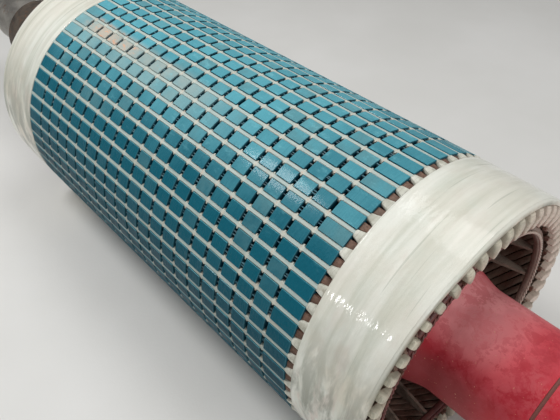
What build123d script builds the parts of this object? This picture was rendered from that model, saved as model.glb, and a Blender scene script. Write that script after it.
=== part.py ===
# Armature of a large motor: a laminated core with radial air ducts on a forged shaft, with a
# bar winding held by slot wedges, wrapped support rings and bands of glass tape.
# Millimetres. X runs along the shaft, +X is the drive end, +Z is up and the origin is at the
# middle of the core, on the shaft's centre line.

from build123d import *

import os
from math import hypot

os.makedirs("parts", exist_ok=True)

# Core
core_radius = 408
core_bore_radius = 255
slot_count = 54
section_count = 3
packets_per_section = 7
packet_length = 50
end_packet_length = 75
duct_width = 10

# Slots and wedges
slot_width = 21
slot_depth = 64
mouth_width = 11
wedge_height = 9
wedge_clearance = 0.2
wedge_setback = 1
wedge_overhang = 18

# Winding bars: straight in the slots, then a slanted arm to a nose at each end
bar_width = 20
bar_height = 25
bar_clearance = 0.25
layer_gap = 4
coil_throw = 13
bend_overhang = 30
nose_overhang = 218
nose_drop = 8.75
arm_width = 36
arm_end_width = 26
nose_length = 23
nose_foot_length = 7
nose_width = 20
nose_taper = 5

# Bands of glass tape over the end windings
band_start_overhang = 22
band_shoulder_overhang = 216
band_end_overhang = 232
band_start_thickness = 7.2
band_end_thickness = 9
band_shoulder_fall = 1.5
band_clearance = 0.5

# Wrapped support rings inside the end windings, with packing blocks under the bars
ring_thickness = 22
ring_length = 24
ring_end_overhang = 222
block_count = 27
block_width = 14
block_length = 8
block_height = 7.7
block_clearance = 0.3
bracket_count = 18
bracket_thickness = 10
bracket_foot_rise = 7

# Pressure plates with one finger behind each tooth
plate_thickness = 22
plate_clearance = 2
finger_width = 15
finger_drop = 1

# Spider ribs between the shaft and the core
rib_count = 8
rib_thickness = 40

# Shaft: radii, and where each step ends, from the middle of the core
body_radius = 170
body_end = 840
flare_length = 18
barrel_radius = 150
barrel_end = 1450
groove_place = 1091
groove_width = 8
groove_depth = 3
journal_radius = 110
journal_end = 1690
seat_radius = 95
shaft_end = 1900
end_chamfer = 4
key_width = 45
key_depth = 15
key_length = 170
centre_hole_radius = 10
centre_hole_depth = 40

# Worked out from the sizes above
slot_angle = 360 / slot_count
packet_count = section_count * packets_per_section
packet_pitch = packet_length + duct_width
core_length = 2 * end_packet_length + (packet_count - 2) * packet_pitch + duct_width
core_end = core_length / 2
slot_bottom_radius = core_radius - slot_depth
wedge_base_radius = core_radius - wedge_height
top_bar_radius = wedge_base_radius - bar_clearance - bar_height / 2
bottom_bar_radius = top_bar_radius - bar_height - layer_gap
bend = core_end + bend_overhang
nose_start = core_end + nose_overhang
arm_middle = (bend + nose_start) / 2
arm_turn = coil_throw / 2 * slot_angle
nose_top_radius = top_bar_radius - nose_drop
nose_bottom_radius = bottom_bar_radius - nose_drop
plate_outer_radius = bottom_bar_radius - bar_height / 2 - plate_clearance
plate_face = core_end + plate_thickness


def packet_start(index):
    """Where packet number index begins, counted from the tail end."""
    if index == 0:
        return -core_end
    return -core_end + end_packet_length + duct_width + (index - 1) * packet_pitch


def packet_end(index):
    """Where packet number index ends."""
    return -packet_start(packet_count - 1 - index)


def save(piece, name):
    """Label a finished piece and write it to its own file."""
    piece.part.label = name
    export_step(piece.part, f"parts/{name}.step")


def save_pair(piece, name):
    """Save a piece of the drive end, and its mirror image at the tail end."""
    save(piece, f"drive_{name}")
    with BuildPart() as tail_piece:
        mirror(piece.part, about=Plane.YZ)
    save(tail_piece, f"tail_{name}")


# One slot, open at the tooth tops, with slanted shoulders that hold the wedge
with BuildSketch() as slot_shape:
    with BuildLine():
        Polyline(
            (core_radius + wedge_height, -mouth_width / 2),
            (core_radius + wedge_height, mouth_width / 2),
            (core_radius, mouth_width / 2),
            (wedge_base_radius, slot_width / 2),
            (slot_bottom_radius, slot_width / 2),
            (slot_bottom_radius, -slot_width / 2),
            (wedge_base_radius, -slot_width / 2),
            (core_radius, -mouth_width / 2),
            close=True,
        )
    make_face()

# The lamination's outline: flat tooth tops between the slots, one tooth straight down
with BuildSketch() as lamination:
    RegularPolygon(core_radius, slot_count)
    RegularPolygon(core_bore_radius, slot_count, major_radius=False, mode=Mode.SUBTRACT)
    with PolarLocations(0, slot_count):
        add(slot_shape.sketch, mode=Mode.SUBTRACT)

# Core sections, each of seven packets, with an air duct between neighbours
for section in range(section_count):
    first = packet_start(section * packets_per_section)
    last = packet_end((section + 1) * packets_per_section - 1)
    with BuildPart() as core_section:
        with BuildSketch(Plane.YZ.offset(first)):
            add(lamination.sketch)
        extrude(amount=last - first)
    save(core_section, f"core_section_{section + 1}")

# Slot wedges, a dovetail in each slot, along the core and a little past its ends
with BuildSketch() as wedge_shape:
    with BuildLine():
        Polyline(
            (core_radius - wedge_setback, -mouth_width / 2 + wedge_clearance),
            (core_radius - wedge_setback, mouth_width / 2 - wedge_clearance),
            (wedge_base_radius, slot_width / 2 - wedge_clearance),
            (wedge_base_radius, -slot_width / 2 + wedge_clearance),
            close=True,
        )
    make_face()
wedge_end = core_end + wedge_overhang
with BuildPart() as slot_wedges:
    with BuildSketch(Plane.YZ.offset(-wedge_end)):
        with PolarLocations(0, slot_count):
            add(wedge_shape.sketch)
    extrude(amount=2 * wedge_end)
save(slot_wedges, "slot_wedges")


def section_corners(place, radius, angle, width):
    """The four corners of a bar's section, square to the axis and turned by angle."""
    turned = Location((0, 0, place), (0, 0, angle))
    inner, outer = radius - bar_height / 2, radius + bar_height / 2
    corners = [(inner, -width / 2), (outer, -width / 2), (outer, width / 2), (inner, width / 2)]
    return [(turned * Location((x, y, 0))).position for x, y in corners]


def bar(slot_radius, nose_radius, turn):
    """One winding bar from nose to nose, along its own slot, with both arms slanted by turn."""
    mid_radius = (slot_radius + nose_radius) / 2
    sections = [
        section_corners(-nose_start, nose_radius, turn, arm_end_width),
        section_corners(-arm_middle, mid_radius, turn / 2, arm_width),
        section_corners(-bend, slot_radius, 0, bar_width),
        section_corners(bend, slot_radius, 0, bar_width),
        section_corners(arm_middle, mid_radius, turn / 2, arm_width),
        section_corners(nose_start, nose_radius, turn, arm_end_width),
    ]
    outlines = [sections[0], sections[-1]]
    for near, far in zip(sections, sections[1:]):
        for corner in range(4):
            following = (corner + 1) % 4
            outlines.append([near[corner], near[following], far[following]])
            outlines.append([near[corner], far[following], far[corner]])
    return Solid(Shell([Face(Wire.make_polygon(outline)) for outline in outlines]))


# The two layers of the winding, one bar of each in every slot
for name, slot_radius, nose_radius, turn in (
    ("top_bars", top_bar_radius, nose_top_radius, -arm_turn),
    ("bottom_bars", bottom_bar_radius, nose_bottom_radius, arm_turn),
):
    one_bar = bar(slot_radius, nose_radius, turn)
    with BuildPart(Plane.YZ) as layer:
        with PolarLocations(0, slot_count):
            add(one_bar)
    save(layer, name)

# Wrapped noses, each joining a top bar to a bottom bar, with a front that leans in to its foot
nose_top = nose_top_radius + bar_height / 2
nose_foot = nose_bottom_radius - bar_height / 2
nose_end = nose_start + nose_length
with BuildPart() as nose:
    with BuildSketch(Plane.XZ):
        with BuildLine():
            Polyline(
                (nose_foot, nose_start),
                (nose_top, nose_start),
                (nose_top - nose_taper, nose_end),
                (nose_foot, nose_start + nose_foot_length),
                close=True,
            )
        make_face()
    extrude(amount=nose_width / 2, both=True)
with BuildPart(Plane.YZ) as noses:
    with PolarLocations(0, slot_count, start_angle=arm_turn):
        add(nose.part)
save_pair(noses, "noses")

# Bands of glass tape over the end windings, with a flat for each bar and a rounded far edge
band_start = core_end + band_start_overhang
band_end = core_end + band_end_overhang
bend_corner = hypot(top_bar_radius + bar_height / 2, bar_width / 2)
nose_corner = hypot(nose_top, arm_end_width / 2)
band_slope = (nose_corner - bend_corner) / (nose_start - bend)
band_start_radius = bend_corner + band_clearance + band_slope * (band_start - bend)
band_end_radius = nose_corner + band_clearance + band_slope * (band_end - nose_start)
band_outer_radius = band_start_radius + band_start_thickness
with BuildPart() as glass_band:
    with BuildSketch(Plane.YZ.offset(band_start)):
        RegularPolygon(band_outer_radius, slot_count, major_radius=False)
    with BuildSketch(Plane.YZ.offset(core_end + band_shoulder_overhang)):
        RegularPolygon(band_outer_radius - band_shoulder_fall, slot_count, major_radius=False)
    with BuildSketch(Plane.YZ.offset(band_end)):
        RegularPolygon(band_end_radius + band_end_thickness, slot_count, major_radius=False)
    loft(ruled=True)
    with BuildSketch(Plane.YZ.offset(band_start)):
        RegularPolygon(band_start_radius, slot_count, major_radius=False)
    with BuildSketch(Plane.YZ.offset(band_end)):
        RegularPolygon(band_end_radius, slot_count, major_radius=False)
    loft(ruled=True, mode=Mode.SUBTRACT)
save_pair(glass_band, "glass_band")

# Wrapped rings that carry the end windings from inside, with a flat for each nose
ring_outer_radius = nose_foot - block_clearance - block_height
ring_inner_radius = ring_outer_radius - ring_thickness
ring_end = core_end + ring_end_overhang
ring_start = ring_end - ring_length
with BuildPart() as support_ring:
    with BuildSketch(Plane.YZ.offset(ring_start)):
        RegularPolygon(ring_outer_radius, slot_count, major_radius=False)
        RegularPolygon(ring_inner_radius, slot_count, major_radius=False, mode=Mode.SUBTRACT)
    extrude(amount=ring_length)
save_pair(support_ring, "support_ring")

# Packing blocks between the rings and every second nose
block_middle = ring_outer_radius + block_height / 2
with BuildPart() as packing_blocks:
    with BuildSketch(Plane.YZ.offset(nose_start)):
        with PolarLocations(block_middle, block_count, start_angle=arm_turn):
            Rectangle(block_height, block_width)
    extrude(amount=block_length)
save_pair(packing_blocks, "packing_blocks")

# Pressure plates, with a finger against each tooth between the bars
finger_tip = wedge_base_radius - finger_drop
finger_middle = (core_bore_radius + finger_tip) / 2
with BuildPart() as pressure_plate:
    with BuildSketch(Plane.YZ.offset(core_end)):
        with PolarLocations(finger_middle, slot_count, start_angle=slot_angle / 2):
            Rectangle(finger_tip - core_bore_radius, finger_width)
        RegularPolygon(plate_outer_radius, slot_count, major_radius=False)
        RegularPolygon(core_bore_radius, slot_count, major_radius=False, mode=Mode.SUBTRACT)
    extrude(amount=plate_thickness)
save_pair(pressure_plate, "pressure_plate")

# Brackets that hold the rings off the pressure plates
ring_middle_radius = (ring_inner_radius + ring_outer_radius) / 2
with BuildPart() as bracket:
    with BuildSketch(Plane.XZ):
        with BuildLine():
            Polyline(
                (core_bore_radius + bracket_foot_rise, plate_face),
                (ring_middle_radius, plate_face),
                (ring_middle_radius, ring_start),
                (ring_inner_radius, ring_start),
                close=True,
            )
        make_face()
    extrude(amount=bracket_thickness / 2, both=True)
with BuildPart(Plane.YZ) as brackets:
    with PolarLocations(0, bracket_count):
        add(bracket.part)
save_pair(brackets, "ring_brackets")

# Spider ribs, full length between the shaft's body and the core's bore
with BuildPart() as spider:
    with BuildSketch(Plane.YZ.offset(-plate_face)):
        with PolarLocations(core_bore_radius / 2, rib_count):
            Rectangle(core_bore_radius + rib_thickness, rib_thickness)
        RegularPolygon(core_bore_radius, slot_count, major_radius=False, mode=Mode.INTERSECT)
        Circle(body_radius, mode=Mode.SUBTRACT)
    extrude(amount=2 * plate_face)
save(spider, "spider_ribs")

# Shaft, turned in steps that are the same towards both ends, with a groove and a keyway at
# the drive end
with BuildPart() as shaft:
    with BuildSketch(Plane.XZ):
        with BuildLine():
            Polyline(
                (0, 0),
                (0, body_radius),
                (body_end, body_radius),
                (body_end + flare_length, barrel_radius),
                (barrel_end, barrel_radius),
                (barrel_end, journal_radius),
                (journal_end, journal_radius),
                (journal_end, seat_radius),
                (shaft_end - end_chamfer, seat_radius),
                (shaft_end, seat_radius - end_chamfer),
                (shaft_end, 0),
                close=True,
            )
        make_face()
    revolve(axis=Axis.X)
    mirror(about=Plane.YZ)
    with BuildSketch(Plane.XZ):
        with Locations((groove_place, barrel_radius)):
            Rectangle(groove_width, 2 * groove_depth)
    revolve(axis=Axis.X, mode=Mode.SUBTRACT)
    with BuildSketch(Plane.XY.offset(seat_radius - key_depth)):
        with Locations((shaft_end - key_length / 2, 0)):
            Rectangle(key_length, key_width)
        with Locations((shaft_end - key_length, 0)):
            Circle(key_width / 2)
    extrude(amount=2 * key_depth, mode=Mode.SUBTRACT)
    with Locations((shaft_end, 0, 0), (-shaft_end, 0, 0)):
        Cylinder(
            centre_hole_radius,
            2 * centre_hole_depth,
            rotation=(0, 90, 0),
            mode=Mode.SUBTRACT,
        )
save(shaft, "shaft")
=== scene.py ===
import math

import bpy
import numpy as np
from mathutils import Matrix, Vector


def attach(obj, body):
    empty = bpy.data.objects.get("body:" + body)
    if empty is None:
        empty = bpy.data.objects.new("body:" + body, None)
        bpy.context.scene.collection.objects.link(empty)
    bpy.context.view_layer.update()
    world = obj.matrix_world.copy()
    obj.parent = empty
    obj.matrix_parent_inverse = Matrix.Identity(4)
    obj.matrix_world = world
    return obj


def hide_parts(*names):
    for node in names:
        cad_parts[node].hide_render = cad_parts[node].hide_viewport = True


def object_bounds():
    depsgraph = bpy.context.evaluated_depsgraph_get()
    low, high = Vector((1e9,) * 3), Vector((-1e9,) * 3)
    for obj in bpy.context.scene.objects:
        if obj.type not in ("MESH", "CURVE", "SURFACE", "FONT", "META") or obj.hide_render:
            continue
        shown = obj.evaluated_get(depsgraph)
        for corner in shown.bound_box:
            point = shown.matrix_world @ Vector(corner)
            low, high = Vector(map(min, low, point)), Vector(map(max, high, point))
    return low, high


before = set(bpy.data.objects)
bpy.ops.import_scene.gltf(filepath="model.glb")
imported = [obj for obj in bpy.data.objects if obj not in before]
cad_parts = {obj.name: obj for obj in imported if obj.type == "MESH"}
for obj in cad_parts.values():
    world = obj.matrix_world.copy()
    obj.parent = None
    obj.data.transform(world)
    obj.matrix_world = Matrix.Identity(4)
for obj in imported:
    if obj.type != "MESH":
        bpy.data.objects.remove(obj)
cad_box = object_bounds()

bpy.context.scene.view_settings.view_transform = "Standard"
rng = np.random.default_rng(54)

# Everything is in metres, with the shaft along X and angles round it from +Y towards +Z.
SLOTS = 54
SLOT_PITCH = 2 * math.pi / SLOTS
SLOT_BOTTOM = 0.344
SLOT_HALF = 0.0105
SHOULDER = 0.399
CORE_RADIUS = 0.4073
BORE_RADIUS = 0.255
CORE_HALF = 0.650
SECTIONS = 3
SECTION_PACKETS = 7
PACKETS = SECTIONS * SECTION_PACKETS
END_PACKET = 0.075
PACKET = 0.050
DUCT = 0.010
BEND = 0.680
NOSE_START = 0.868
ARM_TURN = math.radians(43.333)
RING_STEPS = 216

# The sides of a box whose corners 0 to 3 go round one face and 4 to 7 round the other
BOX_SIDES = np.array([[0, 4, 5, 1], [1, 5, 6, 2], [2, 6, 7, 3], [3, 7, 4, 0]])


class Mesh:
    """Points, faces and point marks gathered into one mesh."""

    def __init__(self):
        self.points = []
        self.quads = []
        self.caps = []
        self.marks = {}
        self.count = 0

    def add(self, points, quads, caps=(), **marks):
        points = np.asarray(points, float).reshape(-1, 3)
        self.points.append(points)
        if len(quads):
            self.quads.append(np.asarray(quads, int) + self.count)
        for cap in caps:
            self.caps.append([int(index) + self.count for index in cap])
        for name, value in marks.items():
            value = np.broadcast_to(np.asarray(value, float), (len(points),))
            self.marks.setdefault(name, []).append((self.count, value))
        self.count += len(points)

    def piece(self, name, material, replaces=(), sharp=35):
        """Build the mesh, with edges sharper than an angle in degrees left unsmoothed."""
        points = np.concatenate(self.points)
        quads = np.concatenate(self.quads)
        loops = [quads.ravel()] + [np.array(cap, int) for cap in self.caps]
        sizes = np.array([4] * len(quads) + [len(cap) for cap in self.caps], int)
        corners = np.concatenate(loops)
        mesh = bpy.data.meshes.new(name)
        mesh.vertices.add(len(points))
        mesh.vertices.foreach_set("co", points.ravel())
        mesh.loops.add(len(corners))
        mesh.loops.foreach_set("vertex_index", corners)
        mesh.polygons.add(len(sizes))
        mesh.polygons.foreach_set("loop_start", np.cumsum(sizes) - sizes)
        mesh.polygons.foreach_set("use_smooth", np.ones(len(sizes), bool))
        for mark, runs in self.marks.items():
            values = np.zeros(len(points))
            for start, run in runs:
                values[start:start + len(run)] = run
            layer = mesh.attributes.new(mark, "FLOAT", "POINT")
            layer.data.foreach_set("value", values)
        mesh.update(calc_edges=True)
        mesh.validate()
        mesh.set_sharp_from_angle(angle=math.radians(sharp))
        mesh.materials.append(material)
        thing = bpy.data.objects.new(name, mesh)
        bpy.context.scene.collection.objects.link(thing)
        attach(thing, "root")
        if replaces:
            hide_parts(*replaces)


def lattice(rows, columns, wrap_rows=False):
    """Quads over rows of points, with each row closed on itself."""
    row = np.arange(rows if wrap_rows else rows - 1)
    r, c = np.meshgrid(row, np.arange(columns), indexing="ij")
    r2 = (r + 1) % rows
    c2 = (c + 1) % columns
    corners = [r * columns + c, r * columns + c2, r2 * columns + c2, r2 * columns + c]
    return np.stack(corners, -1).reshape(-1, 4)


def tube(mesh, rings, end=1, **marks):
    """A closed run of rings with a cap at each end, turned inside out at the tail."""
    count = len(rings[0])
    last = (len(rings) - 1) * count
    quads = lattice(len(rings), count)
    caps = [list(reversed(range(count))), [last + index for index in range(count)]]
    if end < 0:
        quads = quads[:, ::-1]
        caps = [cap[::-1] for cap in caps]
    mesh.add(np.concatenate(rings), quads, caps, **marks)


def hoop_surface(mesh, rings, end):
    """A surface whose rings go round the shaft and close on the first one."""
    quads = lattice(len(rings), len(rings[0]), True)
    mesh.add(np.concatenate(rings), quads[:, ::-1] if end > 0 else quads)


def full_turn(steps):
    """Equal steps round the shaft."""
    return np.arange(steps) * 2 * math.pi / steps


def turned(x, radial, tangential, angle):
    """Points given along X, out from the axis and across, at an angle round the shaft."""
    x, radial, tangential, angle = np.broadcast_arrays(x, radial, tangential, angle)
    y = radial * np.cos(angle) - tangential * np.sin(angle)
    z = radial * np.sin(angle) + tangential * np.cos(angle)
    return np.stack([x, y, z], -1)


def smooth_step(t):
    t = np.clip(t, 0, 1)
    return t * t * (3 - 2 * t)


def packet_span(index):
    """Where a packet starts and ends along X, counted from the tail."""
    if index == 0:
        return -CORE_HALF, -CORE_HALF + END_PACKET
    if index == PACKETS - 1:
        return CORE_HALF - END_PACKET, CORE_HALF
    start = -CORE_HALF + END_PACKET + DUCT + (index - 1) * (PACKET + DUCT)
    return start, start + PACKET


def section(width, height, corner):
    """Twelve points round a bar, going from the outer side across and back."""
    w, h, c = width / 2, height / 2, corner
    d = c * 0.29
    return np.array([
        (h, -w + c), (h, w - c), (h - d, w - d), (h - c, w), (-h + c, w), (-h + d, w - d),
        (-h, w - c), (-h, -w + c), (-h + d, -w + d), (-h + c, -w), (h - c, -w), (h - d, -w + d),
    ])


# Materials

def rgb(red, green, blue):
    """A display colour as the linear values that the shader takes."""
    values = []
    for part in (red, green, blue):
        part = part / 255
        values.append(part / 12.92 if part <= 0.04045 else ((part + 0.055) / 1.055) ** 2.4)
    return (*values, 1.0)


class Look:
    """A material built from nodes, left to right, into one shader."""

    def __init__(self, name):
        self.material = bpy.data.materials.new(name)
        self.material.use_nodes = True
        tree = self.material.node_tree
        self.nodes, self.links = tree.nodes, tree.links
        self.shader = tree.nodes["Principled BSDF"]
        self.place = self.nodes.new("ShaderNodeTexCoord").outputs["Object"]

    def put(self, source, socket):
        if isinstance(source, bpy.types.NodeSocket):
            self.links.new(source, socket)
        else:
            socket.default_value = source

    def math(self, operation, first, second=0.0):
        node = self.nodes.new("ShaderNodeMath")
        node.operation = operation
        self.put(first, node.inputs[0])
        self.put(second, node.inputs[1])
        return node.outputs[0]

    def times(self, first, *others):
        for other in others:
            first = self.math("MULTIPLY", first, other)
        return first

    def plus(self, first, *others):
        for other in others:
            first = self.math("ADD", first, other)
        return first

    def split(self, vector):
        node = self.nodes.new("ShaderNodeSeparateXYZ")
        self.put(vector, node.inputs[0])
        return node.outputs[0], node.outputs[1], node.outputs[2]

    def stretch(self, x, y, z):
        node = self.nodes.new("ShaderNodeVectorMath")
        node.operation = "MULTIPLY"
        self.put(self.place, node.inputs[0])
        node.inputs[1].default_value = (x, y, z)
        return node.outputs[0]

    def radius(self):
        _, y, z = self.split(self.place)
        return self.math("SQRT", self.plus(self.times(y, y), self.times(z, z)))

    def turn(self):
        """The angle round the shaft."""
        _, y, z = self.split(self.place)
        return self.math("ARCTAN2", z, y)

    def hoop(self, along, around):
        """Coordinates with their own pace along X and round the shaft, without a seam."""
        x, y, z = self.split(self.place)
        radius = self.radius()
        node = self.nodes.new("ShaderNodeCombineXYZ")
        self.put(self.times(x, along), node.inputs[0])
        self.put(self.times(self.math("DIVIDE", y, radius), around), node.inputs[1])
        self.put(self.times(self.math("DIVIDE", z, radius), around), node.inputs[2])
        return node.outputs[0]

    def noise(self, scale, detail=3.0, rough=0.55, vector=None, warp=0.0):
        node = self.nodes.new("ShaderNodeTexNoise")
        self.put(vector or self.place, node.inputs["Vector"])
        node.inputs["Scale"].default_value = scale
        node.inputs["Detail"].default_value = detail
        node.inputs["Roughness"].default_value = rough
        node.inputs["Distortion"].default_value = warp
        return node.outputs["Fac"]

    def ramp(self, source, low, high, to_low=0.0, to_high=1.0):
        """A smooth change from one value at low to another at high."""
        node = self.nodes.new("ShaderNodeMapRange")
        node.interpolation_type = "SMOOTHSTEP"
        self.put(source, node.inputs["Value"])
        limits = {"From Min": low, "From Max": high, "To Min": to_low, "To Max": to_high}
        for name, value in limits.items():
            node.inputs[name].default_value = value
        return node.outputs["Result"]

    def within(self, source, start, full, fade, stop):
        """One between full and fade, and nothing before start and after stop."""
        return self.times(self.ramp(source, start, full), self.ramp(source, fade, stop, 1.0, 0.0))

    def mix(self, factor, first, second):
        node = self.nodes.new("ShaderNodeMix")
        node.data_type = "RGBA"
        self.put(factor, node.inputs["Factor"])
        self.put(first, node.inputs[6])
        self.put(second, node.inputs[7])
        return node.outputs[2]

    def blend(self, source, low, high, dark, light):
        """A colour that goes from dark to light as the source goes from low to high."""
        return self.mix(self.ramp(source, low, high), rgb(*dark), rgb(*light))

    def tint(self, colour, shade, *shares):
        """A shade laid over the colour, by shares that are multiplied."""
        return self.mix(self.times(*shares), colour, rgb(*shade))

    def mark(self, name):
        node = self.nodes.new("ShaderNodeAttribute")
        node.attribute_name = name
        return node.outputs["Fac"]

    def up(self):
        """How far a surface faces up, from -1 to 1."""
        node = self.nodes.new("ShaderNodeNewGeometry")
        return self.split(node.outputs["Normal"])[2]

    def relief(self, *layers):
        """Bumps laid over each other, each a height and its depth in metres."""
        normal = None
        for height, depth in layers:
            node = self.nodes.new("ShaderNodeBump")
            node.inputs["Distance"].default_value = depth
            self.put(height, node.inputs["Height"])
            if normal is not None:
                self.put(normal, node.inputs["Normal"])
            normal = node.outputs["Normal"]
        return normal

    def finish(self, colour, roughness, normal, others=None):
        sockets = {"Base Color": colour, "Roughness": roughness, "Normal": normal}
        sockets.update(others or {})
        for name, source in sockets.items():
            self.put(source, self.shader.inputs[name])
        return self.material


def core_look():
    """Teal paint, with painted light that makes it paler on top and painted shade that makes it
    deeper low down, with tones that differ from tooth to tooth.
    """
    look = Look("teal_core_paint")
    x, _, _ = look.split(look.place)
    tone = look.mark("tone")
    up = look.up()
    top = look.ramp(up, 0.55, 1.0)
    patch = look.noise(5.5, 3, 0.55)
    brush = look.noise(1, 4, 0.6, look.hoop(900, 5), 0.2)
    # The paint's level from tooth tone, patches and brush marks, made paler where the teeth face
    # up by dust and by painted light
    level = look.plus(
        look.times(tone, 0.2),
        look.times(patch, 0.55),
        look.times(top, 0.75),
        look.times(look.math("SUBTRACT", brush, 0.5), 0.35),
    )
    level = look.math("SUBTRACT", level, look.ramp(x, 0.25, 0.6, 0.0, 0.16))
    colour = look.blend(level, 0.4, 1.4, (0, 92, 110), (96, 174, 188))
    # Painted shade on the sides that face down
    colour = look.tint(colour, (0, 52, 66), look.ramp(up, -0.1, 0.6, 0.85, 0.0))
    chalk = look.ramp(look.noise(15, 3), 0.35, 0.6, 0.2, 0.6)
    colour = look.tint(
        colour, (92, 136, 142), look.ramp(tone, 0.74, 0.82), chalk, look.ramp(up, 0.3, 0.8)
    )

    # Rows of teeth with paint smeared pale, partly a painted reflection, and one row faded and
    # warm towards the tail that also carries a painted warm reflection
    turn = look.turn()
    cloud = look.ramp(look.noise(9, 4, 0.6), 0.3, 0.6, 0.5, 1.0)
    pale_rows = look.within(turn, 1.855, 1.862, 2.088, 2.095)
    colour = look.tint(
        colour, (152, 180, 178), pale_rows, cloud, look.ramp(x, -0.1, 0.3, 0.6, 0.0)
    )
    warm_row = look.within(turn, 1.80, 1.875, 1.97, 1.978)
    warm = look.times(
        warm_row, cloud, look.ramp(x, -0.62, -0.5), look.ramp(x, -0.36, -0.2, 0.9, 0.35),
        look.ramp(x, -0.1, 0.15, 1.0, 0.0),
    )
    colour = look.tint(colour, (206, 188, 168), warm, 0.85)
    # Orange spots in the warm row towards the tail: a painted warm glint
    wear_and_glint = look.ramp(look.noise(55, 4, 0.65, look.stretch(0.5, 1, 1)), 0.55, 0.62)
    colour = look.tint(
        colour, (238, 166, 120), wear_and_glint, warm, look.ramp(x, -0.33, -0.26, 1.0, 0.0), 0.8
    )

    # Paler blotches on the teeth that face up: a painted highlight
    painted_sheen = look.ramp(look.noise(34, 5, 0.7, look.stretch(0.5, 1, 1)), 0.54, 0.72, 0.0, 0.5)
    colour = look.tint(colour, (126, 196, 206), painted_sheen, top)
    # Lighter along the rounded packet edges: worn paint and a painted highlight on the edges
    colour = look.tint(colour, (112, 172, 184), look.mark("edge"), 0.2)
    specks = look.ramp(look.noise(420, 2, 0.5), 0.68, 0.72, 0.0, 0.45)
    colour = look.tint(colour, (8, 70, 88), specks)
    # Darker deep in the ducts and slot mouths: painted shade
    deep_shade = look.ramp(look.radius(), 0.4000, 0.4062, 1.0, 0.0)
    colour = look.tint(colour, (20, 76, 94), deep_shade)
    normal = look.relief(
        (look.noise(1, 2, 0.5, look.hoop(1500, 2)), 0.0003),
        (look.noise(110, 4, 0.65, look.stretch(1, 0.5, 0.5)), 0.0030),
        (look.noise(300, 3, 0.6), 0.0003),
    )
    roughness = look.ramp(look.noise(18, 4, 0.6), 0.3, 0.7, 0.4, 0.58)
    gloss = {
        "Specular IOR Level": 0.12,
        "Coat Weight": look.ramp(up, 0.2, 0.85, 0.03, 0.16),
        "Coat Roughness": 0.1,
    }
    return look.finish(colour, roughness, normal, gloss)


def wedge_look():
    """Cream fibre, warmer and stained at the diamonds, with painted shade where it meets the teeth
    and on its down-facing sides.
    """
    look = Look("cream_wedge")
    fibre = look.noise(1, 4, 0.6, look.stretch(16, 900, 900))
    colour = look.blend(fibre, 0.3, 0.7, (152, 172, 168), (192, 203, 196))
    stain = look.ramp(look.noise(20, 4, 0.65), 0.5, 0.7, 0.0, 0.5)
    colour = look.tint(colour, (192, 180, 160), stain)
    hip = look.mark("hip")
    colour = look.tint(colour, (212, 206, 188), hip, 0.5)
    spot = look.ramp(look.noise(150, 3, 0.6), 0.52, 0.66)
    colour = look.tint(colour, (196, 158, 134), hip, spot, 0.6)
    # Painted shade down its sides into the slot and on the sides that face down
    low = look.ramp(look.radius(), 0.3995, 0.4052, 1.0, 0.0)
    colour = look.tint(colour, (96, 108, 104), low, 0.75)
    colour = look.tint(colour, (104, 124, 124), look.ramp(look.up(), -0.1, 0.55, 0.6, 0.0))
    grime = look.ramp(look.noise(90, 3, 0.6, look.stretch(0.5, 1, 1)), 0.64, 0.76, 0.0, 0.35)
    colour = look.tint(colour, (140, 132, 116), grime)
    roughness = look.ramp(fibre, 0.2, 0.8, 0.46, 0.6)
    return look.finish(colour, roughness, look.relief((fibre, 0.0004)))


def band_look():
    """Glass tape under lacquer, streaked round the shaft, with painted shade on the sides and
    below.
    """
    look = Look("glass_tape_band")
    x, _, _ = look.split(look.place)
    under = look.ramp(look.up(), -0.1, 0.8, 1.0, 0.0)
    streak = look.noise(1, 3, 0.5, look.hoop(42, 1.2), 0.4)
    fine = look.noise(1, 4, 0.6, look.hoop(700, 4))
    colour = look.blend(streak, 0.3, 0.66, (204, 207, 193), (231, 232, 222))
    colour = look.tint(colour, (222, 223, 212), look.ramp(fine, 0.45, 0.75, 0.0, 0.3))
    warm = look.ramp(look.noise(5.5, 4, 0.6), 0.42, 0.62)
    colour = look.tint(colour, (214, 205, 186), warm, look.plus(look.times(under, 0.6), 0.3))
    pink = look.ramp(look.noise(1, 3, 0.6, look.hoop(26, 4)), 0.5, 0.66)
    colour = look.tint(colour, (208, 190, 178), pink, look.plus(look.times(under, 0.5), 0.12))
    # Grey patches towards the bottom and the sides: painted shade
    under_shade = look.ramp(look.noise(1, 4, 0.6, look.hoop(24, 3), 0.4), 0.38, 0.6)
    colour = look.tint(colour, (128, 131, 116), under_shade, under, 0.9)
    line = look.ramp(look.noise(1, 2, 0.5, look.hoop(120, 0.8), 0.15), 0.64, 0.67, 0.0, 0.45)
    colour = look.tint(colour, (172, 176, 160), line)
    weave = look.times(
        look.math("SINE", look.times(x, 5200.0)),
        look.math("SINE", look.times(look.turn(), 2100.0)),
    )
    dents = look.noise(1, 2, 0.5, look.hoop(92, 14))
    normal = look.relief((weave, 0.00005), (streak, 0.0007), (dents, 0.0009), (fine, 0.0003))
    lacquer = {
        "Coat Weight": 0.45,
        "Coat Roughness": 0.11,
        "Coat Normal": look.relief((dents, 0.0009)),
    }
    return look.finish(colour, look.ramp(fine, 0.3, 0.7, 0.28, 0.42), normal, lacquer)


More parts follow.
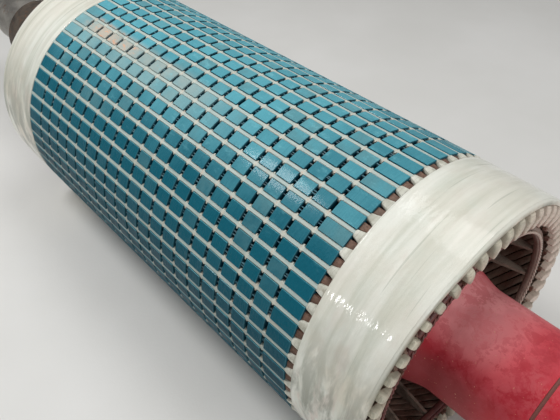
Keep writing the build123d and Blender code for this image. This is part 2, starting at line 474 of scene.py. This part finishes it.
def tape_look(name, low, high, stain, period, direction, far=None, depth=0.0009):
    """Lapped tape with another colour on the +Y side.

    It runs along a bar or out along a blade, where the period is the length of a lap, or
    round a ring, where the period is the number of laps in a turn.
    """
    look = Look(name)
    x, y, _ = look.split(look.place)
    if direction == "along":
        run = look.math("DIVIDE", look.plus(x, look.times(look.turn(), 0.03)), period)
    elif direction == "out":
        run = look.math("DIVIDE", look.plus(look.radius(), look.times(x, 0.35)), period)
    else:
        run = look.times(look.turn(), period / (2 * math.pi))
    lap = look.math("FRACT", look.plus(run, look.times(look.noise(14, 2), 0.7)))
    patch = look.noise(30, 4, 0.6)
    colour = look.blend(patch, 0.3, 0.7, low, high)
    if far is not None:
        far_side = look.ramp(y, 0.0, 0.18)
        colour = look.tint(colour, far, far_side, look.ramp(patch, 0.25, 0.6, 1.0, 0.8))
    spots = look.ramp(look.noise(70, 4, 0.65), 0.55, 0.72, 0.0, 0.55)
    colour = look.tint(colour, stain, spots)
    colour = look.tint(colour, stain, look.ramp(lap, 0.0, 0.12, 0.4, 0.0))
    normal = look.relief((lap, depth), (look.noise(1500, 1, 0.5), 0.00025))
    return look.finish(colour, look.ramp(patch, 0.3, 0.7, 0.42, 0.6), normal)


def rust_look(name, low, high, wear_and_glint):
    """Patchy old paint or resin with a worn grain and some dust on top."""
    look = Look(name)
    patch = look.noise(28, 5, 0.65, None, 0.3)
    grain = look.noise(260, 4, 0.7)
    colour = look.blend(patch, 0.3, 0.7, low, high)
    colour = look.tint(colour, wear_and_glint, look.ramp(grain, 0.5, 0.72, 0.0, 0.7))
    dust = look.ramp(look.noise(8, 3), 0.4, 0.7, 0.0, 0.3)
    colour = look.tint(colour, (150, 138, 124), look.ramp(look.up(), 0.2, 1.0), dust)
    roughness = look.ramp(grain, 0.3, 0.7, 0.6, 0.82)
    return look.finish(colour, roughness, look.relief((grain, 0.0006)))


def shaft_look():
    """Red paint, dusty and with painted highlight on top beside the drive end's winding, and bare
    dark metal at the tail.
    """
    look = Look("red_shaft_paint")
    x, _, _ = look.split(look.place)
    up = look.up()
    cloud = look.noise(6, 4, 0.6, None, 0.6)
    blotch = look.noise(19, 6, 0.72, None, 0.5)
    crisp = look.ramp(look.noise(30, 7, 0.78, None, 0.4), 0.44, 0.54)
    colour = look.blend(cloud, 0.36, 0.64, (170, 22, 40), (200, 46, 60))
    colour = look.tint(colour, (200, 76, 88), look.ramp(blotch, 0.42, 0.6, 0.0, 0.5))

    # Near the winding, all fading away from it: haze and dust on top that carry painted highlight,
    # and a browner, duller lower side
    colour = look.tint(
        colour, (220, 80, 90), look.ramp(x, 0.98, 1.14, 1.0, 0.0),
        look.ramp(crisp, 0.0, 1.0, 0.55, 1.0), look.ramp(up, 0.4, 0.9),
    )
    # Pinkish-grey dust on top, brightened as a painted highlight
    colour = look.tint(
        colour, (250, 160, 162), look.ramp(x, 0.90, 1.04, 1.0, 0.0),
        look.ramp(up, 0.5, 0.95), look.ramp(crisp, 0.0, 1.0, 0.6, 1.0),
    )
    # Browner and duller on the lower side near the winding
    colour = look.tint(
        colour, (142, 74, 74), look.ramp(x, 0.92, 1.12, 0.6, 0.0),
        look.ramp(up, 0.2, 0.65, 1.0, 0.0),
    )

    # Paler pink patches, more on top: a dust film with painted highlight on top
    film_and_sheen = look.ramp(look.noise(9, 3), 0.45, 0.6, 0.0, 0.4)
    colour = look.tint(colour, (206, 104, 108), crisp, film_and_sheen, look.ramp(up, 0.1, 0.95))
    scratch = look.ramp(look.noise(1, 3, 0.7, look.hoop(420, 7)), 0.66, 0.72, 0.0, 0.3)
    colour = look.tint(colour, (112, 24, 34), scratch)
    specks = look.ramp(look.noise(210, 2, 0.4), 0.73, 0.76, 0.0, 0.9)
    colour = look.tint(colour, (226, 170, 136), specks)
    bare = look.blend(blotch, 0.35, 0.65, (54, 47, 41), (88, 78, 68))
    rust = look.ramp(look.noise(30, 4, 0.7), 0.52, 0.68, 0.0, 0.7)
    bare = look.tint(bare, (104, 72, 54), rust)
    colour = look.mix(look.ramp(x, -0.5, -0.4, 1.0, 0.0), colour, bare)
    in_groove = look.ramp(look.radius(), 0.1474, 0.1494, 0.85, 0.0)
    colour = look.tint(colour, (112, 84, 74), in_groove)
    normal = look.relief((look.noise(180, 5, 0.65), 0.0005), (blotch, 0.0012))
    roughness = look.ramp(blotch, 0.3, 0.7, 0.4, 0.58)
    return look.finish(colour, roughness, normal, {"Specular IOR Level": 0.25})


def steel_look():
    look = Look("bare_steel")
    patch = look.noise(12, 4, 0.6)
    colour = look.blend(patch, 0.35, 0.7, (120, 116, 110), (168, 164, 156))
    rust = look.ramp(look.noise(30, 5, 0.7), 0.58, 0.72, 0.0, 0.75)
    colour = look.tint(colour, (120, 82, 58), rust)
    normal = look.relief((look.noise(1, 3, 0.6, look.hoop(2600, 1.5)), 0.00025))
    return look.finish(colour, look.ramp(patch, 0.3, 0.7, 0.3, 0.48), normal, {"Metallic": 0.75})


def floor_look():
    look = Look("pale_floor")
    colour = look.blend(look.noise(0.8, 4, 0.6), 0.3, 0.7, (222, 221, 217), (230, 229, 226))
    return look.finish(colour, 0.75, look.relief((look.noise(90, 4, 0.6), 0.0004)))


core_paint = core_look()
wedge_paint = wedge_look()
band_tape = band_look()
shaft_paint = shaft_look()
bare_steel = steel_look()
bar_tape = tape_look(
    "bar_tape", (104, 84, 72), (150, 128, 112), (66, 48, 40), 0.016, "along", (128, 110, 96)
)
nose_tape = tape_look(
    "nose_tape", (176, 173, 156), (214, 208, 188), (150, 134, 116), 0.0125, "out",
    (216, 200, 186), 0.0005
)
# The ring and its lacing cord are lighter on the +Y side and dark red-brown elsewhere: red
# overspray from the shaft, and painted shade on that side
ring_tape = tape_look(
    "ring_tape", (90, 52, 48), (120, 76, 70), (68, 42, 38), 96, "round", (140, 120, 108)
)
liner_cloth = tape_look(
    "liner_cloth", (174, 173, 158), (222, 222, 210), (150, 138, 120), 0.011, "along",
    None, 0.0006
)
rim_cord = tape_look(
    "lacing_cord", (100, 54, 50), (128, 78, 72), (78, 44, 40), 0.006, "out", (206, 190, 176)
)
spacer_paint = rust_look("duct_spacer_paint", (30, 76, 92), (84, 130, 142), (18, 52, 66))
block_paint = rust_look("block_resin", (84, 52, 40), (118, 78, 62), (58, 38, 30))
packing_paint = rust_look("packing_resin", (84, 60, 48), (130, 100, 84), (52, 38, 32))
plate_paint = rust_look("plate_primer", (96, 64, 52), (138, 102, 86), (64, 44, 36))
bracket_paint = rust_look("bracket_primer", (92, 76, 66), (150, 134, 120), (58, 44, 38))
rib_paint = rust_look("rib_primer", (84, 34, 32), (120, 54, 48), (56, 30, 26))


# Core

def tooth_profile():
    """One tooth from the bottom of its slot to that of the next, as radius and offset angle."""
    half = [
        (SLOT_BOTTOM, 0.0),
        (SLOT_BOTTOM, SLOT_HALF),
        (SHOULDER, SLOT_HALF),
        (0.4060, 0.0058),
        (CORE_RADIUS, 0.0068),
    ]
    points = []
    for radial, across in half:
        turn = math.atan2(across, radial) - SLOT_PITCH / 2
        points.append((math.hypot(radial, across), turn))
    return points + [(CORE_RADIUS, 0.0)] + [(r, -a) for r, a in reversed(points[1:])]


def core_pieces():
    """The core's three sections, made of packets with slightly uneven, rounded teeth."""
    profile = np.array(tooth_profile())
    per_tooth = len(profile)
    centres = (np.arange(SLOTS) + 0.5) * SLOT_PITCH
    is_top = np.tile(profile[:, 0] > 0.4055, SLOTS)
    angle = (centres[:, None] + profile[None, :, 1]).ravel()
    bevel, edge_width, inset, unevenness = 0.0008, 0.0018, 0.0008, 0.00018
    count = SLOTS * per_tooth
    around = np.arange(SLOTS)
    after = (around + 1) % SLOTS
    for section_index in range(SECTIONS):
        mesh = Mesh()
        first_packet = section_index * SECTION_PACKETS
        for index in range(first_packet, first_packet + SECTION_PACKETS):
            start, end = packet_span(index)
            start += inset if index else 0
            end -= inset if index < PACKETS - 1 else 0
            lift = np.repeat(rng.uniform(-unevenness, 0.0, SLOTS), per_tooth)
            tone = np.repeat(rng.uniform(0, 1, SLOTS), per_tooth)
            radius = np.tile(profile[:, 0], SLOTS) + np.where(is_top, lift, 0)
            low = radius - np.where(is_top, bevel, 0)
            rings, edges = [], []
            for x, ring_radius, is_edge in (
                (start, low, 1), (start + bevel, radius, 1), (start + edge_width, radius, 0),
                (end - edge_width, radius, 0), (end - bevel, radius, 1), (end, low, 1),
            ):
                rings.append(turned(x, ring_radius, 0, angle))
                edges.append(is_top * float(is_edge))
            last_ring = (len(rings) - 1) * count
            near_bore = len(rings) * count
            far_bore = near_bore + SLOTS
            quads = np.concatenate([
                lattice(len(rings), count)[:, ::-1],
                np.stack([near_bore + after, far_bore + after, far_bore + around,
                          near_bore + around], -1),
            ])
            caps = []
            for ring, hole, flip in ((0, near_bore, False), (last_ring, far_bore, True)):
                for tooth in range(SLOTS):
                    following = (tooth + 1) % SLOTS
                    at = ring + tooth * per_tooth
                    yoke = [hole + tooth, at, at + 1, at + 9, ring + following * per_tooth,
                            hole + following]
                    neck = [at + 1, at + 2, at + 8, at + 9]
                    crown = [at + step for step in range(2, 9)]
                    for cap in (yoke, neck, crown):
                        caps.append(cap[::-1] if flip else cap)
            edge = np.concatenate(edges + [np.zeros(2 * SLOTS)])
            tones = np.concatenate([np.tile(tone, len(rings)), np.zeros(2 * SLOTS)])
            rings += [turned(x, BORE_RADIUS, 0, around * SLOT_PITCH) for x in (start, end)]
            mesh.add(np.concatenate(rings), quads, caps, edge=edge, tone=tones)
        number = section_index + 1
        replaced = (f"core_section_{number}",)
        mesh.piece(f"core_packets_{number}", core_paint, replaced, 30)


def duct_centres():
    return [packet_span(index)[1] + DUCT / 2 for index in range(PACKETS - 1)]


def duct_spacers():
    """Up to two thin upright spacers in each duct at each tooth, a little below the tops."""
    mesh = Mesh()
    missing_share, half_thickness, half_length, foot = 0.3, 0.0011, 0.0052, 0.346
    for middle in duct_centres():
        for tooth in range(SLOTS):
            angle = (tooth + 0.5) * SLOT_PITCH + rng.uniform(-0.005, 0.005)
            for side in (-1, 1):
                if rng.uniform() < missing_share:
                    continue
                place = side * rng.uniform(0.0014, 0.0048)
                across = place + half_thickness * np.array([-1, 1, 1, -1])
                top = rng.uniform(0.4010, 0.4056)
                out = np.array([foot, foot, top, top])
                near = turned(middle - half_length, out, across, angle)
                far = turned(middle + half_length, out, across, angle)
                mesh.add(np.concatenate([near, far]), BOX_SIDES)
    mesh.piece("duct_spacers", spacer_paint)


def wedge_strips():
    """Wedges that widen to a small diamond at each duct, with short tips into the duct."""
    mesh = Mesh()
    slim, crest_radius, round_over, foot_half = 0.0037, 0.4066, 0.0008, 0.0102
    diamond = (
        (-0.0090, slim, 0), (-0.0050, 0.0042, 0.5), (-0.0020, 0.0052, 1),
        (0.0020, 0.0052, 1), (0.0050, 0.0042, 0.5), (0.0090, slim, 0),
    )
    stations = [(-0.660, slim, 0), (-0.648, slim, 0)]
    for middle in duct_centres():
        stations += [(middle + reach, half, hip) for reach, half, hip in diamond]
    stations += [(0.648, slim, 0), (0.6535, slim, 0)]
    x, half, hip = (np.array(column) for column in zip(*stations))

    tip_top, tip_fall, tip_root = 0.4061, 0.0012, 0.0050
    tip_outline = np.array([-0.0026, 0.0026, 0.0013, -0.0013])
    tip_faces = np.concatenate([[[0, 1, 2, 3]], BOX_SIDES[1:]])
    for slot in range(SLOTS):
        angle = slot * SLOT_PITCH
        lean = rng.uniform(-0.0003, 0.0003)
        dip = rng.uniform(0.0002, 0.0007)
        top = crest_radius - dip - np.abs(0.0002 * rng.standard_normal(len(x)))
        uneven = half * (1 + 0.05 * rng.standard_normal(len(x)))
        rings = []
        for place, crest, wide in zip(x, top, uneven):
            edge = wide + 0.0007
            foot = max(foot_half, edge)
            out = np.array([
                crest - round_over - lean, crest - lean, crest + lean, crest - round_over + lean,
                SHOULDER + 0.001, SHOULDER, SHOULDER, SHOULDER + 0.001,
            ])
            across = np.array([-edge, -wide, wide, edge, foot, 0.0100, -0.0100, -foot])
            rings.append(turned(place, out, across, angle)[::-1])
        tube(mesh, rings, hip=np.repeat(hip, 8))
        for middle in duct_centres():
            for side in (-1, 1):
                tip = side * rng.uniform(0.0078, 0.0108)
                along = middle + rng.uniform(-0.0012, 0.0012) + tip_outline
                root = side * tip_root
                across = np.array([root, root, tip, tip])
                tops = tip_top - tip_fall * np.array([0, 0, 1, 1])
                points = [turned(along, out, across, angle) for out in (tops, SHOULDER)]
                faces = tip_faces[:, ::-1] if side < 0 else tip_faces
                mesh.add(np.concatenate(points), faces, hip=0.8)
    mesh.piece("wedge_strips", wedge_paint, ("slot_wedges",), 30)


# Winding

def eased_turn(t, ease=0.12):
    """The share of a bar's turn at the share t of its arm, with a soft start and stop."""
    if t < ease:
        run = t * t / (2 * ease)
    elif t > 1 - ease:
        run = 1 - ease - (1 - t) ** 2 / (2 * ease)
    else:
        run = t - ease / 2
    return run / (1 - ease)


def bar_width(t):
    """A bar's width at the share t of its arm."""
    if t < 0.5:
        return 0.020 + 0.016 * math.sin(math.pi * t)
    return 0.036 - 0.010 * (2 * t - 1) ** 2


def bars(name, node, slot_radius, nose_radius, turn, thin=0.0):
    """One layer of bars, straight in the core and slanting to the noses, thinner there by thin."""
    mesh = Mesh()
    width, height, corner = 0.020, 0.025, 0.003
    arm = []
    for t in np.linspace(0, 1, 12):
        less = thin * smooth_step((t - 0.7) / 0.3)
        radius = slot_radius + (nose_radius - slot_radius) * t + less / 2
        x = BEND + (NOSE_START - BEND) * t
        arm.append((x, turn * eased_turn(t), radius, bar_width(t), height - less))
    stations = [(-x, *rest) for x, *rest in reversed(arm)]
    stations += [(x, 0.0, slot_radius, width, height) for x in (-CORE_HALF, CORE_HALF)] + arm
    for slot in range(SLOTS):
        rings = []
        for x, a, r, w, h in stations:
            shape = section(w, h, corner)
            rings.append(turned(x, r + shape[:, 0], shape[:, 1], slot * SLOT_PITCH + a)[::-1])
        tube(mesh, rings)
    mesh.piece(name, bar_tape, (node,), 40)


def liner_ends():
    """The cloth ends of the slot liners, folded up over the bars between core and bands."""
    mesh = Mesh()
    low = 0.3900
    for end in (-1, 1):
        sink = 0.0 if end > 0 else 0.0036
        for slot in range(SLOTS):
            angle = slot * SLOT_PITCH + rng.uniform(-0.002, 0.002)
            grow = rng.uniform(0.92, 1.08)
            tilt = rng.uniform(-0.0009, 0.0009)
            rings = []
            for x, top, half, corner in (
                (0.6490, 0.4046, 0.0062, 0.0036),
                (0.6504, 0.4062, 0.0086, 0.0050),
                (0.6525, 0.4069, 0.0100 * grow, 0.0062),
                (0.6565, 0.4069, 0.0110 * grow, 0.0068),
                (0.6615, 0.4062, 0.0124 * grow, 0.0072),
                (0.6670, 0.4050, 0.0146, 0.0076),
                (0.6745, 0.4024, 0.0172, 0.0080),
            ):
                top = top - sink + rng.uniform(-0.0004, 0.0)
                shape = section(2 * half, top - low, corner)
                lean = np.where(shape[:, 0] > 0, tilt * np.sign(shape[:, 1]), 0)
                out = (top + low) / 2 + shape[:, 0] + lean
                rings.append(turned(end * x, out, shape[:, 1], angle)[::-1])
            tube(mesh, rings, end)
    mesh.piece("liner_ends", liner_cloth, (), 45)


def finger_pads():
    """Brown packing over the fingers, between the liner ends."""
    mesh = Mesh()
    low, corner = 0.3950, 0.0016
    for end in (-1, 1):
        top = 0.4022 if end > 0 else 0.3992
        for tooth in range(SLOTS):
            angle = (tooth + 0.5) * SLOT_PITCH + rng.uniform(0.006, 0.010)
            rings = []
            for x, crest, half in (
                (0.6502, -0.0008, 0.0094), (0.6512, 0.0, 0.0100),
                (0.6600, -0.0010, 0.0090), (0.6740, -0.0034, 0.0066),
            ):
                height = top + crest + rng.uniform(-0.0004, 0.0004) - low
                shape = section(2 * half, height, corner)
                out = low + height / 2 + shape[:, 0]
                rings.append(turned(end * x, out, shape[:, 1], angle)[::-1])
            tube(mesh, rings, end)
    mesh.piece("finger_pads", packing_paint, (), 45)


def band_profile(start):
    """The band's outer line from its start to its rounded far edge, as X and radius."""
    line = [(start, 0.4036), (start + 0.0007, 0.4056), (start + 0.0022, 0.4065)]
    for x in np.linspace(start + 0.006, 0.864, 42):
        dip = 0.0007 * math.exp(-((x - 0.73) / 0.022) ** 2)
        line.append((x, 0.4068 - 0.0009 * smooth_step((x - 0.78) / 0.09) - dip))
    return line + [
        (0.8690, 0.4056), (0.8738, 0.4052), (0.8743, 0.4043), (0.8776, 0.4035), (0.8799, 0.4018),
        (0.8813, 0.3990), (0.8819, 0.3958), (0.8819, 0.3928), (0.8810, 0.3908),
    ]


def edge_slack(angle):
    """How far the near band's far edge stands back from its plane, most at the lower -Y side."""
    degrees = np.degrees(angle)
    grown = 1 - np.exp(-np.clip(degrees - 111, 0, None) / 40)
    return 0.0155 * grown * smooth_step((290 - degrees) / 90)


def glass_band(side, end):
    """One band, wound from flat tape, with tape edges that run nearly round it."""
    mesh = Mesh()
    angle = full_turn(RING_STEPS)
    phase = rng.uniform(0, 6.28, 12)
    laps = np.sort(rng.uniform(0.68, 0.86, 11))
    lap_step, wave, highest = 0.0001, 0.00022, 0.4071
    start, inner_start = (0.672, 0.3995) if end > 0 else (0.6545, 0.4029)
    outer = band_profile(start)
    rings = []
    for step, (x, radius) in enumerate(outer):
        relief = wave * (
            np.sin(2 * angle + phase[0] + 9 * x) + 0.6 * np.sin(5 * angle + phase[1])
            + 0.4 * np.sin(11 * angle + phase[2] + 30 * x)
        )
        for number, lap in enumerate(laps):
            place = (lap + 0.004 * np.sin(angle + phase[number])
                     + 0.0015 * np.sin(4 * angle + phase[number - 3]))
            rise = lap_step if number % 2 else -lap_step
            relief = relief + np.where(x > place, rise, -rise)
        fade = min(1.0, step / 3, (len(outer) - 1 - step) / 6)
        slack = edge_slack(angle) * smooth_step((x - 0.79) / 0.08) if end > 0 else 0
        out = np.minimum(radius + relief * fade, highest)
        rings.append(turned(end * (x - slack), out, 0, angle))
    for x, radius in ((0.858, 0.3914), (0.780, 0.3950), (start, inner_start)):
        rings.append(turned(end * x, radius, 0, angle))
    hoop_surface(mesh, rings, end)
    mesh.piece(f"{side}_tape_band", band_tape, (f"{side}_glass_band",), 50)


def noses(side, end):
    """Wrapped noses, each a leaf that narrows to its tip, with two faint grooves down its face.

    They are longer towards the top and over the +Y side, and fuller on the +Y side.
    """
    mesh = Mesh()
    back, root = NOSE_START + 0.0002, 0.3896
    # From tip to root: the share of the length, the share of the width and the face's place
    stations = (
        (0.00, 0.20, 0.8735), (0.05, 0.40, 0.8754), (0.12, 0.57, 0.8768), (0.20, 0.72, 0.8784),
        (0.30, 0.85, 0.8803), (0.42, 0.95, 0.8826), (0.55, 1.00, 0.8848), (0.68, 1.00, 0.8864),
        (0.80, 0.99, 0.8868), (0.90, 0.95, 0.8860), (0.96, 0.91, 0.8848), (1.00, 0.84, 0.8832),
    )
    for index in range(SLOTS):
        angle = (index + 0.5) * SLOT_PITCH + rng.uniform(-0.004, 0.004)
        degrees = math.degrees(angle)
        shorter = smooth_step((degrees - 112) / 16) * smooth_step((300 - degrees) / 60)
        longer = 0.0105 * (1 - shorter)
        straight = smooth_step((math.cos(angle) + 0.1) / 0.5)
        lean = rng.uniform(-0.0016, 0.0016)
        wide = rng.uniform(0.92, 1.04)
        tip = 0.3345 + rng.uniform(0.0, 0.0035)
        rings = []
        for share, swell, front in stations:
            front = front + longer * (1 - share)
            swell = swell + (min(1.0, 0.25 + 3.2 * share) - swell) * straight
            half = 0.0115 * wide * swell
            corner = (0.5 - 0.2 * straight) * half
            ridge = 0.0004 * swell
            groove = 0.0030 * swell
            line = [
                (back, -half),
                (front - corner, -half),
                (front - 0.3 * corner, -half + 0.3 * corner),
                (front, -half + corner),
                (front - ridge, -groove),
                (front + 0.4 * ridge, 0.0),
                (front - ridge, groove),
                (front, half - corner),
                (front - 0.3 * corner, half - 0.3 * corner),
                (front - corner, half),
                (back, half),
            ]
            x, across = np.array(line).T
            out = tip + (root - tip) * share
            across = across + lean * (share - 0.6)
            rings.append(turned(end * np.maximum(x, back), out, across, angle))
        tube(mesh, rings, end)
    mesh.piece(f"{side}_wrapped_noses", nose_tape, (f"{side}_noses",), 50)


def support_ring(side, end):
    """The taped ring inside the noses, with a twisted cord laced along its rim."""
    ring = Mesh()
    angle = full_turn(RING_STEPS)
    bulge = 0.0004 * np.abs(np.sin(angle * 48))
    rings = []
    for out, across in section(0.0180, 0.0208, 0.005):
        rings.append(turned(end * (0.8568 + across), 0.317 + out + np.sign(out) * bulge, 0, angle))
    hoop_surface(ring, rings, end)
    replaced = (f"{side}_support_ring",)
    ring.piece(f"{side}_taped_ring", ring_tape, replaced, 50)

    cord = Mesh()
    cord_x, cord_radius, strand_radius, twist_radius, twists = 0.8676, 0.3125, 0.0026, 0.0017, 72
    run = full_turn(720)
    turn = full_turn(10)
    for strand in range(2):
        twist = run * twists + strand * math.pi
        x = (cord_x + twist_radius * np.sin(twist))[:, None] + strand_radius * np.sin(turn)
        out = (cord_radius + twist_radius * np.cos(twist))[:, None] + strand_radius * np.cos(turn)
        hoop_surface(cord, turned(end * x, out, 0, run[:, None]), end)
    cord.piece(f"{side}_rim_lacing", rim_cord, (), 60)


# Shaft

def shaft_pieces():
    """The painted barrel, and the bare journals and seats with a keyway at the drive end."""
    angle = full_turn(160)
    count = len(angle)
    body, barrel, journal, seat = 0.170, 0.150, 0.110, 0.095
    barrel_end, journal_end, shaft_end = 1.45, 1.69, 1.90
    bevel, groove_depth = 0.002, 0.0028
    flare = [(0.0, body)]
    for t in np.linspace(0, 1, 14):
        flare.append((0.790 + 0.085 * t, barrel + (body - barrel) * (1 - smooth_step(t ** 0.8))))
    groove = [
        (1.0905, barrel), (1.0912, barrel - groove_depth),
        (1.0988, barrel - groove_depth), (1.0995, barrel),
    ]
    lip = [(barrel_end - bevel, barrel), (barrel_end, barrel - bevel)]
    rows = [(-x, r) for x, r in reversed(flare[1:] + lip)] + flare + groove + lip
    painted = Mesh()
    rings = [turned(x, r, 0, angle) for x, r in rows]
    painted.add(np.concatenate(rings), lattice(len(rings), count)[:, ::-1])
    painted.piece("shaft_barrel", shaft_paint, ("shaft",), 25)

    bare = Mesh()
    key_half, key_depth, key_start, key_stop = 0.0225, 0.015, 1.716, 1.886
    keyed = (np.abs(np.cos(angle)) < 0.2436) & (np.sin(angle) > 0)
    for end in (-1, 1):
        rows = [
            (barrel_end, barrel - bevel, 0), (barrel_end, journal + 0.003, 0),
            (1.4509, journal + 0.0009, 0), (1.453, journal, 0),
            (journal_end - bevel, journal, 0), (journal_end, journal - bevel, 0),
            (journal_end, seat + 0.002, 0), (1.6906, seat + 0.0006, 0), (1.692, seat, 0),
        ]
        if end > 0:
            rows += [(key_start, seat, 0), (key_start, seat, 1)]
            rows += [(key_stop, seat, 1), (key_stop, seat, 0)]
        rows += [
            (1.896, seat, 0), (shaft_end, seat - 0.004, 0),
            (shaft_end, 0.0105, 0), (1.8995, 0.010, 0), (1.860, 0.010, 0),
        ]
        rings = []
        for x, r, key in rows:
            ring = turned(end * x, r, 0, angle)
            if key:
                ring[keyed, 2] = r - key_depth
                ring[keyed, 1] = np.clip(ring[keyed, 1] * 1.02, -key_half, key_half)
            rings.append(ring)
        quads = lattice(len(rings), count)
        cap = [(len(rings) - 1) * count + index for index in range(count)]
        if end > 0:
            quads, cap = quads[:, ::-1], cap[::-1]
        bare.add(np.concatenate(rings), quads, [cap])
    bare.piece("shaft_ends", bare_steel, (), 25)


def dress_nodes():
    """Finishes for the solids that show as they are."""
    finishes = {
        "packing_blocks": block_paint, "pressure_plate": plate_paint,
        "ring_brackets": bracket_paint, "spider_ribs": rib_paint,
    }
    for name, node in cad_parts.items():
        for ending, finish in finishes.items():
            if name.endswith(ending):
                for place in node.material_slots:
                    place.material = finish


# Studio

def floor():
    size = 14.0
    low = cad_box[0][2]
    corners = [(-size, -size, low), (size, -size, low), (size, size, low), (-size, size, low)]
    mesh = bpy.data.meshes.new("floor")
    mesh.from_pydata(corners, [], [(0, 1, 2, 3)])
    mesh.materials.append(floor_look())
    thing = bpy.data.objects.new("floor", mesh)
    bpy.context.scene.collection.objects.link(thing)


def lamp(name, place, target, size, power):
    data = bpy.data.lights.new(name, "AREA")
    data.shape = "DISK"
    data.size = size
    data.energy = power
    thing = bpy.data.objects.new(name, data)
    thing.location = place
    aim = Vector(target) - Vector(place)
    thing.rotation_euler = aim.to_track_quat("-Z", "Y").to_euler()
    bpy.context.scene.collection.objects.link(thing)


def lights():
    lamp("sky_lamp", (0.1, 0.9, 3.5), (0.3, 0, 0), 1.7, 36)
    lamp("left_lamp", (-1.85, -1.3, 3.4), (0, 0, 0), 1.0, 64)
    lamp("side_lamp", (-0.7, -3.7, 1.9), (0.2, 0, 0), 0.22, 11)
    lamp("front_lamp", (4.3, -0.5, 2.0), (0.8, 0, 0), 2.2, 54)
    world = bpy.data.worlds.new("studio")
    bpy.context.scene.world = world
    world.use_nodes = True
    background = world.node_tree.nodes["Background"]
    background.inputs["Color"].default_value = (1, 1, 1, 1)
    background.inputs["Strength"].default_value = 0.35


def camera():
    data = bpy.data.cameras.new("camera")
    data.lens = 38.14
    data.sensor_width = 36
    thing = bpy.data.objects.new("camera", data)
    thing.location = (1.2102, -0.9146, 1.2185)
    thing.rotation_euler = [math.radians(angle) for angle in (47.998, 0.383, 47.801)]
    bpy.context.scene.collection.objects.link(thing)
    bpy.context.scene.camera = thing


core_pieces()
duct_spacers()
wedge_strips()
bars("top_layer", "top_bars", 0.38625, 0.3775, -ARM_TURN)
bars("bottom_layer", "bottom_bars", 0.35725, 0.3485, ARM_TURN, 0.010)
liner_ends()
finger_pads()
for side, end in (("drive", 1), ("tail", -1)):
    glass_band(side, end)
    noses(side, end)
    support_ring(side, end)
shaft_pieces()
dress_nodes()
floor()
lights()
camera()
